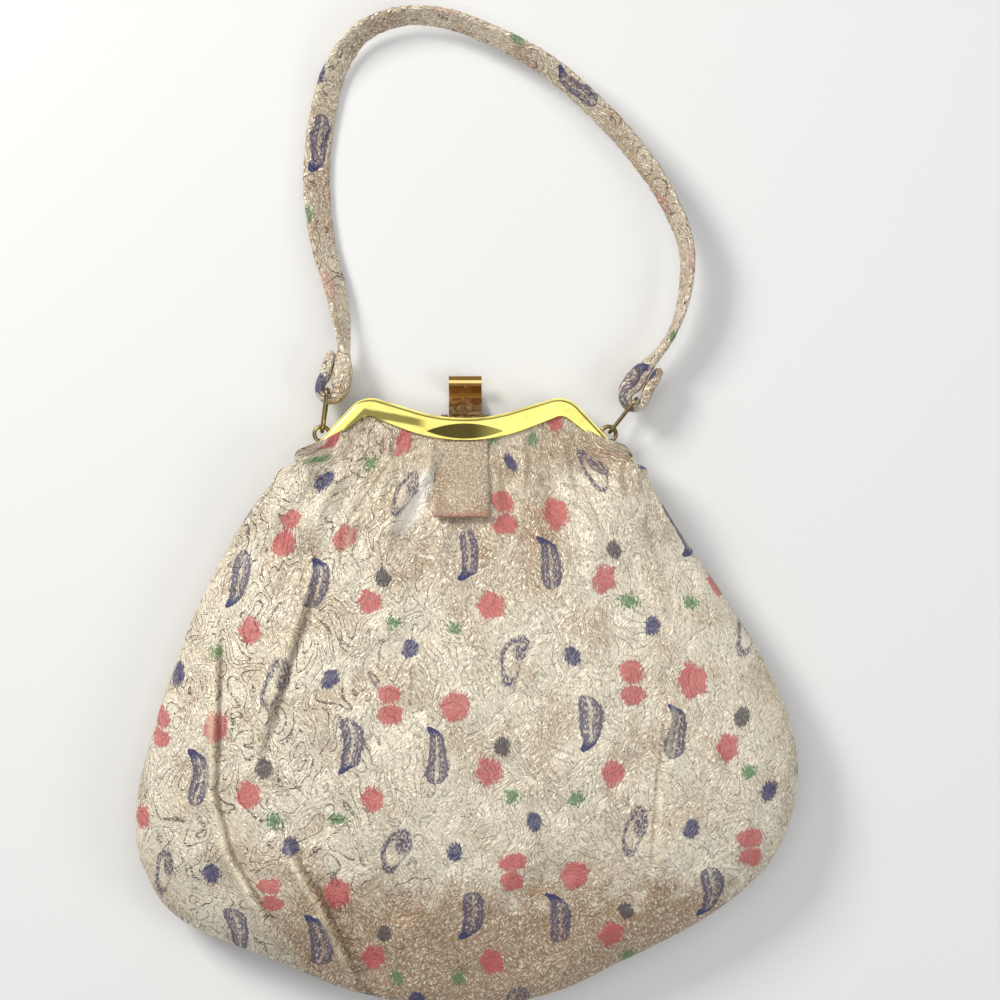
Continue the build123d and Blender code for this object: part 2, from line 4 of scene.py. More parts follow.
import bmesh
import bpy
import numpy as np
from bpy.props import FloatProperty, FloatVectorProperty, IntProperty, PointerProperty
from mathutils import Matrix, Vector


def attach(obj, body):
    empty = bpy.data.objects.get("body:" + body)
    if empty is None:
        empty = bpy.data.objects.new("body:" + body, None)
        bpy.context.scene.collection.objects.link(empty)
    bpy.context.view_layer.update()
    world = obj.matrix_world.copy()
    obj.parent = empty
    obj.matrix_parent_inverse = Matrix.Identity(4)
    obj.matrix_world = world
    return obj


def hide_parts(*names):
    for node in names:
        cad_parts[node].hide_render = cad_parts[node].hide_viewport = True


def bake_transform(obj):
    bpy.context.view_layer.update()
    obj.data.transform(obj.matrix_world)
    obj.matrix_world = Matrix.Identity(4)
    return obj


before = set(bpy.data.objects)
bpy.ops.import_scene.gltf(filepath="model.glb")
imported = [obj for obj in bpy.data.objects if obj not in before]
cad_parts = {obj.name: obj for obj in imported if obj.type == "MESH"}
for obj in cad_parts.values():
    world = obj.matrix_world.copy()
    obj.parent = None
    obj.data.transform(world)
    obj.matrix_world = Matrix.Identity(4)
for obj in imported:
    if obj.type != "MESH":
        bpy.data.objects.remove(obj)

bl_info = {
    "name": "Brocade Evening Purse",
    "version": (1, 0, 0),
    "blender": (4, 5, 0),
    "location": "View3D > Sidebar > Purse",
    "description": "Dresses a framed brocade purse with cloth, tab, strap and gilt fittings",
    "category": "Add Mesh",
}

MM = 0.001

# Heights and places of the closed frame, in millimetres
SEAM_Z = 14.0
CLOTH_RISE_IN_FRAME = 3.0
PANEL_TOP = 84.5
MOUTH_HALF = 61.6
LEG_HALF = 52.4

# Inner edge of the frame, in millimetres: an arc in the middle, a straight rise and a straight leg
DIP_CENTRE_Y = 156.28
DIP_RADIUS = 60
DIP_HALF = 22.2

# The hasp's lens-shaped seat, in millimetres, where the front gilt is painted with a dark reflection: half
# its width, its y and half its height
SEAT_LENS = (13.5, 99.6, 2.7)

# Lines across the hasp, in millimetres: where its tone darkens, its bright step and its lip
HASP_DARK = (111.6, 112.2)
HASP_STEP = 111.9
HASP_LIP = 117.0

# Gathers of the cloth: where they start, how far up they reach and the share of width they take up
GATHER_START = 30
GATHER_REACH = 64
GATHER_LOSS = 0.34

# Camera, half of what it sees at the seam's level, and half of the floor, in metres
CAMERA_HEIGHT = 0.95
VIEW_MIDDLE = (0.0121, 0.0759)
VIEW_HALF = 0.1725
FLOOR_HALF = 3.0

# Rows of the bag from the bottom up: y, left edge, right edge, rise of the front, fall of the back
BAG_ROWS = [
    (-99.3, -12.0, 10.0, 1.6, 1.8),
    (-94.0, -36.0, 30.0, 5.5, 6.0),
    (-84.0, -62.0, 52.0, 9.5, 10.5),
    (-70.0, -95.5, 79.6, 14.5, 14.0),
    (-52.0, -110.2, 102.6, 18.5, 14.5),
    (-32.0, -113.4, 112.8, 20.5, 14.5),
    (-8.0, -108.6, 114.0, 20.5, 14.5),
    (20.0, -99.6, 103.4, 18.5, 14.5),
    (45.0, -89.4, 87.8, 15.0, 14.5),
    (68.0, -76.4, 71.8, 10.5, 9.0),
    (84.5, -62.8, 60.4, 5.0, 5.0),
]

# Folds of the front: height (below zero for a crease), width, how far one side overlaps
# (above zero where the left side lies on top) and the line that the fold follows downwards
FOLDS = [
    (3.8, 3.0, 0.0, [(-9, 93), (-11.0, 88.7), (-19.0, 77.6), (-27.6, 64.9), (-31, 58)]),
    (3.0, 3.0, -0.8, [(-22, 94), (-23.5, 91.4), (-32.1, 79.4), (-41.4, 64.9), (-42.1, 46.2)]),
    (4.2, 4.4, 1.0, [(-50.7, 51.8), (-52.1, 43.8), (-58.0, 26.2), (-65.6, 2.1), (-69.7, -13.8)]),
    (4.2, 4.4, 1.0, [
        (-83.5, 30), (-84.2, -12.1), (-84.9, -23.1), (-79.4, -43.8), (-63.5, -71.4), (-51.8, -83.1)]),
    (5.4, 5.0, 1.0, [(-58, -40), (-56.6, -45.9), (-47.6, -61.1), (-36.6, -87.3), (-34, -95)]),
    (2.8, 4.0, -0.9, [(69.7, 14), (68.5, 2), (65.6, -20.7), (63.8, -48.3), (60, -62)]),
    (1.3, 3.6, 0.3, [(-34, 92), (-47, 74), (-62, 56), (-74, 38)]),
    (-1.3, 2.6, 0.0, [(-39, 92), (-54, 74), (-70, 50)]),
    (1.2, 2.8, 0.4, [(-45, 90), (-62, 72), (-80, 44), (-88, 22)]),
    (-1.0, 2.4, 0.0, [(-29, 95), (-36, 84), (-47, 66)]),
    (-1.0, 1.6, 0.0, [(-17, 95), (-19, 86), (-23, 76)]),
    (1.0, 1.6, 0.0, [(-26, 96), (-29, 86), (-36, 74)]),
    (-1.3, 1.8, 0.0, [(13, 95), (14, 84), (17, 66)]),
    (1.2, 2.0, -0.3, [(18, 96), (21, 82), (26, 60)]),
    (-1.1, 1.8, 0.0, [(24, 98), (28, 84), (35, 62)]),
    (1.1, 2.0, 0.0, [(29, 99), (35, 84), (44, 62)]),
    (-1.0, 2.0, 0.0, [(35, 98), (42, 84), (53, 60)]),
    (1.1, 2.2, -0.3, [(40, 96), (50, 80), (64, 56)]),
    (-0.9, 2.4, 0.0, [(46, 92), (58, 74), (72, 48)]),
    (1.2, 3.2, 0.5, [(-101, 10), (-103, -14), (-98, -40), (-88, -60)]),
    (0.9, 4.0, -0.4, [(96, 10), (98, -16), (92, -48)]),
    (0.9, 4.0, 0.0, [(82, 26), (84, -6), (82, -40)]),
    (-1.0, 3.6, 0.0, [(-22, -58), (-12, -76), (2, -93)]),
    (-0.9, 4.0, 0.0, [(28, -52), (31, -70), (34, -86)]),
    (1.2, 4.0, 0.6, [(-70, -24), (-68, -44), (-60, -66)]),
    (0.9, 5.0, 0.0, [(8, 10), (22, -12), (26, -40)]),
    (0.8, 4.6, 0.0, [(40, 40), (46, 14), (44, -14)]),
]

# Route of the strap's middle between its two cloth loops: x, y, z, lean from flat in degrees, width
STRAP_ROUTE = [
    (-42.2, 130.0, 8.2, 70, 8.6),
    (-44.4, 146.0, 6.0, 46, 9.2),
    (-50.0, 167.5, 3.9, 30, 9.4),
    (-52.0, 189.0, 2.9, 20, 9.4),
    (-50.0, 209.0, 3.3, 25, 9.4),
    (-44.8, 227.0, 4.6, 38, 9.4),
    (-36.0, 238.5, 6.6, 52, 9.4),
    (-22.0, 243.8, 8.5, 58, 9.4),
    (-6.5, 242.6, 10.4, 57, 9.4),
    (10.0, 236.2, 12.0, 54, 9.4),
    (27.5, 226.6, 13.0, 50, 9.4),
    (43.5, 213.0, 13.5, 48, 9.4),
    (58.0, 197.5, 13.5, 48, 9.4),
    (70.0, 180.0, 13.0, 54, 9.4),
    (76.6, 163.0, 12.0, 64, 9.4),
    (76.0, 147.0, 11.0, 72, 9.2),
    (70.8, 132.0, 9.8, 82, 8.6),
]
STRAP_THICKNESS = 2.3

# Each end loop of the strap, from its flap round the link's bar: across, along, thickness
LOOP_ROUTE = [
    (1.3, 13.4, 3.0),
    (1.7, 8.5, 3.7),
    (2.0, 4.2, 3.7),
    (2.8, 1.0, 3.4),
    (2.3, -1.7, 2.9),
    (0.0, -3.2, 3.6),
    (-3.0, -2.2, 4.2),
    (-4.3, 1.0, 5.8),
    (-3.9, 4.2, 7.0),
    (-3.6, 8.4, 6.4),
    (-3.0, 12.0, 4.8),
]
LOOP_WIDTH = 7.6

# Height of the links' bars, and the place and turn in degrees of each end loop
LINK_Z = 9.2
LEFT_TUNNEL, LEFT_TURN = (-47.6, 114.2), 12.0
RIGHT_TUNNEL, RIGHT_TURN = (59.3, 110.9), 33.0

# The brocade's repeat and its motifs, in millimetres of cloth from the middle of a paisley pair
PAIR_PLACE = (-24.5, -11.0)
REPEAT_ACROSS = (81.4, 7.8)
REPEAT_DOWN = (40.0, 65.9)
PAISLEYS = [(-14.8, 0.7, 1), (14.8, -0.7, -1)]
RING_PAISLEY = (1.4, -35.0)
FLOWERS = [(21.2, 15.6, 4.6), (-6.6, -16.4, 4.2), (-48.2, -15.2, 4.3)]
DOUBLE_FLOWER = (-0.3, 15.9)
SPRIGS = [(-18.7, -24.2), (-40.7, -23.5)]
DOTS = [(-33.8, -32.1), (20.8, -34.0)]
DARK_DOT = (37.9, 1.7)


class BagSizes(bpy.types.PropertyGroup):
    """Sizes of the cloth body and its lining."""
    columns: IntProperty(name="Columns", description="Columns of the front cloth", default=256, min=40)
    rows: IntProperty(name="Rows", description="Rows of the front cloth", default=176, min=40)
    cloth: FloatProperty(name="Cloth", description="Thickness of the cloth", default=0.9 * MM, unit="LENGTH")
    pucker: FloatProperty(name="Pucker", description="Height of the puckers", default=0.3 * MM, unit="LENGTH")
    lining: FloatProperty(
        name="Lining", description="Thickness of the lining", default=0.4 * MM, unit="LENGTH")
    lining_inset: FloatProperty(
        name="Lining inset", description="Lining's way in from the skin", default=3.2 * MM, unit="LENGTH")


class TabSizes(bpy.types.PropertyGroup):
    """Sizes of the folded tab."""
    width: FloatProperty(name="Width", description="Width of the tab", default=18.4 * MM, unit="LENGTH")
    thickness: FloatProperty(
        name="Thickness", description="Thickness of both layers", default=1.8 * MM, unit="LENGTH")
    top: FloatProperty(
        name="Top", description="Where the tab meets the frame", default=95.9 * MM, unit="LENGTH")
    bottom: FloatProperty(
        name="Bottom", description="Fold at the lower end", default=69.9 * MM, unit="LENGTH")
    middle: FloatProperty(name="Middle", description="Place across the bag", default=-0.9 * MM, unit="LENGTH")


class ClothColours(bpy.types.PropertyGroup):
    """Colours of the brocade and its lining."""
    cream: FloatVectorProperty(
        name="Cream", description="Pale silk ground", default=(0.78, 0.71, 0.56), size=3, subtype="COLOR")
    tan: FloatVectorProperty(
        name="Tan", description="Darker gold ground", default=(0.42, 0.275, 0.165), size=3, subtype="COLOR")
    bronze: FloatVectorProperty(
        name="Bronze", description="Outlines of leaves", default=(0.17, 0.12, 0.075), size=3, subtype="COLOR")
    rose: FloatVectorProperty(
        name="Rose", description="Woven flowers", default=(0.56, 0.085, 0.095), size=3, subtype="COLOR")
    navy: FloatVectorProperty(
        name="Navy", description="Dots and paisleys", default=(0.035, 0.04, 0.15), size=3, subtype="COLOR")
    green: FloatVectorProperty(
        name="Green", description="Woven sprigs", default=(0.11, 0.24, 0.09), size=3, subtype="COLOR")
    lining: FloatVectorProperty(
        name="Lining", description="Smooth lining", default=(0.62, 0.52, 0.36), size=3, subtype="COLOR")


class MetalColours(bpy.types.PropertyGroup):
    """Colours of the gilt fittings."""
    gilt: FloatVectorProperty(
        name="Gilt", description="Polished frame", default=(0.90, 0.78, 0.22), size=3, subtype="COLOR")
    amber: FloatVectorProperty(
        name="Amber", description="Toned hasp", default=(0.40, 0.22, 0.08), size=3, subtype="COLOR")
    wire: FloatVectorProperty(
        name="Wire", description="Links and eyes", default=(0.33, 0.25, 0.12), size=3, subtype="COLOR")


def smooth(t):
    """Eases each value of an array from 0 to 1."""
    t = np.clip(t, 0.0, 1.0)
    return t * t * (3 - 2 * t)


def curve_shares(t, step):
    """Shares of the first value and slope, and of the next ones, at t of a smooth curve's step."""
    first, first_slope = 2 * t ** 3 - 3 * t ** 2 + 1, (t ** 3 - 2 * t ** 2 + t) * step
    second, second_slope = 3 * t ** 2 - 2 * t ** 3, (t ** 3 - t ** 2) * step
    return first, first_slope, second, second_slope


def rows_at(y):
    """Left edge, right edge, rise and fall at each y, on smooth curves through the rows."""
    table = np.array(BAG_ROWS)
    heights = table[:, 0]
    slopes = np.gradient(table[:, 1:], heights, axis=0)
    y = np.clip(y, heights[0], heights[-1])
    i = np.clip(np.searchsorted(heights, y) - 1, 0, len(heights) - 2)
    step = heights[i + 1] - heights[i]
    t = (y - heights[i]) / step
    a, b, c, d = curve_shares(t, step)
    here, after = table[i, 1:], table[i + 1, 1:]
    return [a * here[:, k] + b * slopes[i, k] + c * after[:, k] + d * slopes[i + 1, k] for k in range(4)]


def inner_edge(x):
    """Height y of the frame's inner edge at each x."""
    x = np.abs(x)
    arc = DIP_CENTRE_Y - np.sqrt(DIP_RADIUS ** 2 - np.minimum(x, 40) ** 2)
    dip = np.where(x < DIP_HALF, arc, 91.7 + 0.3988 * x)
    leg = 105.1 - 0.755 * (x - 33.6)
    lower = np.minimum(dip, leg)
    return lower - 0.9 * np.exp(-np.abs(dip - leg) / 1.2)


def folds_at(x, y):
    """Height of the folds at each place of the front, and a share of painted shade at the foot of each fold,
    below zero for painted light on its raised edge.
    """
    total, foot = np.zeros_like(x), np.zeros_like(x)
    for height, width, lop, line in FOLDS:
        line = np.array(line[::-1], float)
        low, high = line[0, 1], line[-1, 1]
        here = np.interp(y, line[:, 1], line[:, 0])
        slope = np.interp(y, line[:, 1], np.gradient(line[:, 0], line[:, 1]))
        to_left = (here - x) / np.hypot(1, slope)
        t = (high - y) / (high - low)
        fade = smooth((t + 0.12) / 0.3) * smooth((1.12 - t) / 0.4)
        ridge = np.exp(-(to_left / width) ** 2)
        over = to_left * np.sign(lop) if lop else to_left
        overlap = np.exp(-np.maximum(over, 0) / (2.6 * width)) / (1 + np.exp(-np.clip(over / 0.45, -30, 30)))
        overlap -= 0.35 * np.exp(-((over + 1.2) / 1.2) ** 2)
        total += height * fade * ((1 - abs(lop)) * ridge + abs(lop) * overlap)
        depth = fade * abs(lop) * min(abs(height) / 3.0, 1.0)
        foot += depth * (np.exp(-((over + 0.6) / 1.0) ** 2) - 0.7 * np.exp(-((over - 1.8) / 1.6) ** 2))
    return total, foot


def ripples_at(x, y, side):
    """Soft unevenness of a stuffed, gathered cloth, stronger and narrower near the frame."""
    near = smooth((y - 15) / 75)
    spread = 1 + 0.006 * np.clip(85 - y, 0, 200)
    fan = x / spread
    wave = near * (0.8 * np.sin(0.42 * fan + 1.3 + 0.05 * y) + 0.45 * np.sin(0.83 * fan + 0.4 - 0.09 * y))
    wave += near ** 3 * 0.3 * np.sin(1.7 * fan + 2.6 * np.sin(0.17 * y + 0.09 * x))
    wave += 0.9 * np.sin(0.11 * x + 0.9 * np.sin(0.06 * y) + side) * np.sin(0.09 * y + 0.5)
    wave += 0.5 * np.sin(0.23 * x - 0.12 * y + 1.7) * np.sin(0.17 * y + 0.06 * x)
    return wave


def puckers_at(x, y):
    """Small raised leaves of the jacquard, in parts of one."""
    bend = x + 3.0 * np.sin(0.21 * y + 0.3 * np.sin(0.13 * x))
    rise = y + 2.4 * np.sin(0.27 * x + 1.1)
    return np.sin(0.62 * bend + 0.5 * np.sin(0.35 * rise)) * np.sin(0.47 * rise + 1.3 * np.sin(0.24 * bend))


def leg_cover(x, y, lift):
    """Share of the puff of cloth over each leg of the frame, and of its outer corner."""
    puff = smooth((np.abs(x) - 38) / 14) * smooth((y - 54) / 30) * smooth(lift / 0.36)
    corner = smooth((np.abs(x) - 43) / 8) * np.exp(-((y - 89.6) / 5.0) ** 2) * smooth(lift / 0.3)
    return puff, corner


def cloth_points(u, v, side, inset, detail, pucker):
    """Places of the cloth at u across and v down, both from 0 to 1, in millimetres."""
    mouth_share, squareness = 0.11, 2.3
    down = np.clip((v - mouth_share) / (1 - mouth_share), 0, 1)
    up = np.clip(1 - v / mouth_share, 0, 1)
    y = PANEL_TOP + (BAG_ROWS[0][0] - PANEL_TOP) * down
    left, right, rise, fall = rows_at(y)
    height = np.maximum((rise if side > 0 else fall) - inset, 0.3)
    half = np.maximum((right - left) / 2 - inset, 0.5)
    turn = pi * u
    x = (left + right) / 2 + half * np.cos(turn) * np.abs(np.cos(turn)) ** (2 / squareness - 1)
    lift = np.sin(turn) ** 0.8
    z = SEAM_Z + side * height * lift
    edge = np.clip(x * LEG_HALF / MOUTH_HALF, -LEG_HALF, LEG_HALF)
    tuck = 0.6 + 1.0 * smooth((46 - np.abs(edge)) / 10) * smooth((np.abs(edge) - 13) / 5)
    x = np.where(up > 0, x + (edge - x) * smooth(up * 2.3), x)
    y = np.where(up > 0, y + (inner_edge(edge) + tuck - y) * up, y)
    mouth_inset = 1.4 if inset else 0.0
    level = SEAM_Z + side * (CLOTH_RISE_IN_FRAME - mouth_inset)
    z = np.where(up > 0, z + (level - z) * smooth(np.minimum(up * 1.3, 1)), z)
    shape = lift * (1 - smooth((y - inner_edge(x) + 3.0) / 2.4))
    if detail:
        swell = ripples_at(x, y, side) + (folds_at(x, y)[0] if side > 0 else 0)
        z = z + side * detail * shape * np.maximum(swell, -1.2 + 0.9 * smooth((y - 80) / 8))
        z = z + side * pucker * shape * puckers_at(x, y)
    if side > 0 and detail:
        puff, corner = leg_cover(x, y, lift)
        x = x + np.sign(x) * (1.6 * puff + np.where(x > 0, 5.6, 4.4) * corner)
        y = y + np.where(x > 0, 1.6, 1.0) * puff
        z = z + 6.0 * puff + 0.8 * corner
    if side < 0:
        z = np.maximum(z, 0.1 + inset)
    return x, y, z


def grid_piece(name, columns, rows, place, closed=False, facing=0):
    """A piece from a grid whose points and cloth map come from place(u, v), in millimetres."""
    mesh = bmesh.new()
    bmesh.ops.create_grid(mesh, x_segments=columns, y_segments=rows, size=0.5)
    mesh.verts.ensure_lookup_table()
    start = np.array([vertex.co[:2] for vertex in mesh.verts])
    points, weave, feet = place(start[:, 0] + 0.5, 0.5 - start[:, 1])
    # Share of painted shade and painted light at the folds, read by the cloth's material
    crease = mesh.verts.layers.float.new("crease")
    for vertex, point, foot in zip(mesh.verts, points * MM, feet):
        vertex.co = point
        vertex[crease] = foot
    layer = mesh.loops.layers.uv.new("weave")
    for face in mesh.faces:
        for loop in face.loops:
            loop[layer].uv = weave[loop.vert.index] * MM
    if closed:
        bmesh.ops.remove_doubles(mesh, verts=mesh.verts, dist=0.01 * MM)
        bmesh.ops.holes_fill(mesh, edges=[e for e in mesh.edges if e.is_boundary], sides=0)
    bmesh.ops.recalc_face_normals(mesh, faces=mesh.faces)
    if facing * sum(face.normal.z for face in mesh.faces) < 0:
        bmesh.ops.reverse_faces(mesh, faces=mesh.faces)
    data = bpy.data.meshes.new(name)
    mesh.to_mesh(data)
    mesh.free()
    data.shade_smooth()
    piece = bpy.data.objects.new(name, data)
    bpy.context.scene.collection.objects.link(piece)
    return piece


def give_wall(piece, thickness):
    """Gives a cloth surface its thickness, inwards."""
    wall = piece.modifiers.new("Wall", "SOLIDIFY")
    wall.thickness = thickness
    wall.offset = -1
    bpy.context.view_layer.update()
    evaluated = piece.evaluated_get(bpy.context.evaluated_depsgraph_get())
    finished = bpy.data.meshes.new_from_object(evaluated)
    piece.modifiers.clear()
    piece.data = finished
    return piece


def grid_order(u, v, columns, rows):
    """Index of each grid point by its row and column."""
    order = np.empty((rows + 1, columns + 1), int)
    order[np.rint(v * rows).astype(int), np.rint(u * columns).astype(int)] = np.arange(len(u))
    return order


def reach_across(grid):
    """Length of each row of points from its first one."""
    steps = np.linalg.norm(np.diff(grid, axis=1), axis=2)
    return np.concatenate([np.zeros((len(grid), 1)), np.cumsum(steps, axis=1)], axis=1)


def cloth_piece(name, columns, rows, side, inset, detail, pucker):
    """One side of the bag or of its lining, with the cloth's own lengths as its map."""
    def place(u, v):
        x, y, z = cloth_points(u, v, side, inset, detail, pucker)
        plain_x, plain_y, plain_z = cloth_points(u, v, side, inset, 0.0, 0.0)
        order = grid_order(u, v, columns, rows)
        grid = np.stack([plain_x, plain_y, plain_z], axis=1)[order]
        middle = columns // 2
        reach = reach_across(grid)
        across = grid[:, middle, 0][:, None] - (reach - reach[:, middle][:, None])
        gathered = np.clip((grid[:, :, 1] - GATHER_START) / GATHER_REACH, 0, 1) ** 2.2
        across = across / (1 - GATHER_LOSS * gathered)
        falls = np.linalg.norm(np.diff(grid[:, middle], axis=0), axis=1)
        length = grid[0, middle, 1] - np.concatenate([[0], np.cumsum(falls)])
        along = length[:, None] + grid[:, :, 1] - grid[:, middle, 1][:, None]
        weave = np.empty((len(u), 2))
        weave[order, 0] = across * side
        weave[order, 1] = along
        foot = folds_at(x, y)[1] if side > 0 and detail else 0 * x
        return np.stack([x, y, z], axis=1), weave, foot
    return grid_piece(name, columns, rows, place, facing=side)


def through(values, count):
    """Evenly spread samples of smooth curves through rows of values, and how far along each is."""
    values = np.array(values, float)
    gaps = np.linalg.norm(np.diff(values[:, :3], axis=0), axis=1)
    knots = np.concatenate([[0], np.cumsum(gaps)])
    slopes = np.gradient(values, knots, axis=0)
    s = np.linspace(0, knots[-1], count)
    i = np.clip(np.searchsorted(knots, s) - 1, 0, len(knots) - 2)
    step = (knots[i + 1] - knots[i])[:, None]
    t = ((s - knots[i]) / step[:, 0])[:, None]
    a, b, c, d = curve_shares(t, step)
    return a * values[i] + b * slopes[i] + c * values[i + 1] + d * slopes[i + 1], s


def band_piece(name, rows, around, thickness, fullness, uneven, weave_shift):
    """A closed band: each row is its middle's place, its width's direction and its width."""
    count = len(rows) - 1
    middles, across, widths = rows[:, :3], rows[:, 3:6], rows[:, 6]
    along = np.gradient(middles, axis=0)
    along /= np.linalg.norm(along, axis=1)[:, None]
    across = across - along * np.sum(across * along, axis=1)[:, None]
    across /= np.linalg.norm(across, axis=1)[:, None]
    face = np.cross(along, across)
    reach = np.concatenate([[0], np.cumsum(np.linalg.norm(np.diff(middles, axis=0), axis=1))])

    def place(u, v):
        i = np.clip(np.rint(v * count).astype(int), 0, count)
        angle = 2 * pi * u
        c, s = np.cos(angle), np.sin(angle)
        wide = c * widths[i] / 2
        thick = np.sign(s) * (1 - np.minimum(np.abs(c), 1.0) ** fullness) ** 0.5 * thickness[i] / 2
        waver = np.sin(0.9 * reach[i] + 1.7 * np.sin(0.31 * reach[i])) + 0.6 * np.sin(2.3 * reach[i] + 2 * c)
        wide = wide * (1 + uneven * 0.06 * waver)
        thick = thick + uneven * 0.2 * np.sin(1.3 * reach[i] + 3.1 * c) * np.abs(s)
        points = middles[i] + across[i] * wide[:, None] + face[i] * thick[:, None]
        order = grid_order(u, v, around, count)
        turn = reach_across(points[order])
        weave = np.empty((len(u), 2))
        weave[order, 0] = turn - turn[:, around // 4][:, None] + weave_shift[0]
        weave[:, 1] = reach[i] + weave_shift[1]
        return points, weave, 0 * u
    return grid_piece(name, around, count, place, closed=True)


class Wire:
    """An output in a material, with the maths that shapes a pattern."""

    def __init__(self, paint, socket):
        self.paint = paint
        self.socket = socket

    def maths(self, operation, *others):
        values = dict(enumerate((self, *others)))
        return self.paint.node("ShaderNodeMath", {"operation": operation}, values)

    def __add__(self, other):
        return self.maths("ADD", other)

    def __mul__(self, other):
        return self.maths("MULTIPLY", other)

    def __sub__(self, other):
        return self.maths("SUBTRACT", other)

    def __truediv__(self, other):
        return self.maths("DIVIDE", other)

    def __pow__(self, other):
        return self.maths("POWER", other)

    def __rsub__(self, other):
        return self * -1 + other

    def __neg__(self):
        return self * -1

    def __abs__(self):
        return self.maths("ABSOLUTE")

    __radd__ = __add__
    __rmul__ = __mul__

    def least(self, other):
        return self.maths("MINIMUM", other)

    def most(self, other):
        return self.maths("MAXIMUM", other)

    def rise(self, low, high):
        """0 below low and 1 above high, eased between; falls where low is above high."""
        values = {0: self, 1: low, 2: high, 3: 0.0, 4: 1.0}
        return self.paint.node("ShaderNodeMapRange", {"interpolation_type": "SMOOTHSTEP"}, values)


class Paint:
    """Builds the nodes of one material."""

    def __init__(self, name):
        self.material = bpy.data.materials.new(name)
        self.material.use_nodes = True
        self.tree = self.material.node_tree
        self.shader = self.tree.nodes["Principled BSDF"]

    def node(self, kind, settings=None, values=None, output=0):
        made = self.tree.nodes.new(kind)
        for key, value in (settings or {}).items():
            setattr(made, key, value)
        for key, value in (values or {}).items():
            if isinstance(value, Wire):
                self.tree.links.new(value.socket, made.inputs[key])
            else:
                made.inputs[key].default_value = value
        return Wire(self, made.outputs[output])

    def cloth_place(self):
        """Place on the flat cloth, in millimetres."""
        return self.scaled(self.node("ShaderNodeUVMap", {"uv_map": "weave"}), 1000.0)

    def object_place(self):
        """Place on the object, in metres."""
        return Wire(self, self.tree.nodes.new("ShaderNodeTexCoord").outputs["Object"])

    def parts(self, place):
        """The three numbers of a place."""
        outputs = self.node("ShaderNodeSeparateXYZ", {}, {0: place}).socket.node.outputs
        return [Wire(self, output) for output in outputs]

    def vector(self, operation, first, second=(0, 0, 0), output=0):
        return self.node("ShaderNodeVectorMath", {"operation": operation}, {0: first, 1: second}, output)

    def scaled(self, first, factor):
        return self.node("ShaderNodeVectorMath", {"operation": "SCALE"}, {0: first, 3: factor})

    def noise(self, place, scale, detail=2.0, distortion=0.0, output=0):
        values = {"Vector": place, "Scale": scale, "Detail": detail, "Distortion": distortion}
        return self.node("ShaderNodeTexNoise", {}, values, output)

    def cells(self, place, scale, feature="DISTANCE_TO_EDGE", randomness=1.0):
        values = {"Vector": place, "Scale": scale, "Randomness": randomness}
        return self.node("ShaderNodeTexVoronoi", {"feature": feature}, values)

    def diagonals(self, place, scale, distortion):
        values = {"Vector": place, "Scale": scale, "Distortion": distortion}
        return self.node("ShaderNodeTexWave", {"bands_direction": "DIAGONAL"}, values)

    def mix(self, factor, first, second):
        values = {0: factor, 6: self.colour(first), 7: self.colour(second)}
        return self.node("ShaderNodeMix", {"data_type": "RGBA"}, values, 2)

    def blend(self, factor, first, second):
        return self.node("ShaderNodeMix", {"data_type": "FLOAT"}, {0: factor, 2: first, 3: second})

    def colour(self, value):
        return value if isinstance(value, Wire) else (*value[:3], 1.0)

    def bump(self, height, strength, distance):
        return self.node("ShaderNodeBump", {}, {"Height": height, "Strength": strength, "Distance": distance})

    def finish(self, **sockets):
        for name, value in sockets.items():
            socket = self.shader.inputs[name.replace("_", " ")]
            if isinstance(value, Wire):
                self.tree.links.new(value.socket, socket)
            else:
                socket.default_value = value
        return self.material


class Repeat:
    """The brocade's repeat: gives each motif its own place in every repeat."""

    def __init__(self, paint, place):
        self.paint = paint
        basis = np.array([REPEAT_ACROSS, REPEAT_DOWN], float)
        self.inverse = np.linalg.inv(basis)
        self.basis = basis
        first, second = self.inverse[:, 0], self.inverse[:, 1]
        one = paint.vector("DOT_PRODUCT", place, (first[0], first[1], 0), 1)
        two = paint.vector("DOT_PRODUCT", place, (second[0], second[1], 0), 1)
        self.share = paint.node("ShaderNodeCombineXYZ", {}, {0: one, 1: two})

    def around(self, x, y):
        """Way across and up from the nearest copy of a motif whose middle is x, y from the pair's."""
        centre = np.array([PAIR_PLACE[0] + x, PAIR_PLACE[1] + y]) @ self.inverse
        moved = self.paint.vector("ADD", self.share, (0.5 - centre[0], 0.5 - centre[1], 0.5))
        near = self.paint.vector("SUBTRACT", self.paint.vector("FRACTION", moved), (0.5, 0.5, 0.5))
        across = self.paint.vector("DOT_PRODUCT", near, (self.basis[0][0], self.basis[1][0], 0), 1)
        up = self.paint.vector("DOT_PRODUCT", near, (self.basis[0][1], self.basis[1][1], 0), 1)
        return across, up


def oval(across, up, wide, high):
    """Distance from a middle as a share of an oval's edge."""
    return ((across * (1 / wide)) ** 2 + (up * (1 / high)) ** 2) ** 0.5


def paisley(across, up, flip):
    """Share of the way from a bent drop's middle line to its edge, and the way along it."""
    q = up * (flip / 9.6)
    middle = 1.2 - q * q * 1.6 - (-q).rise(0.55, 1.05) * 2.2
    width = (1 - q * q * q * q).most(0.01) ** 0.5 * (q * 0.9 + 3.3).most(1.0)
    return abs(across - middle) / width + (abs(q) - 0.97).most(0.0) * 20, q


def flower(across, up, size):
    """Distance from a flower's middle as a share of its five-petalled edge."""
    petals = up.maths("ARCTAN2", across) * 5.0
    return oval(across, up, size, size * 1.12) + petals.maths("COSINE") * 0.07


def ring_paisley(across, up, jag, thread):
    """Share of ink in the open outline of a paisley with a seed inside it."""
    ring = oval(across - up * 0.22, up, 4.2, 8.6)
    opening = (across + up * -0.55).rise(3.2, 4.6)
    line = ring.rise(0.58, 0.74) * ring.rise(1.1, 0.94) * (1 - opening)
    seed = oval(across - 1.8, up - 2.4, 2.2, 3.4)
    return line.most((seed + jag).rise(1.1, 0.8)) * (thread * 1.5).rise(0.5, 0.85)


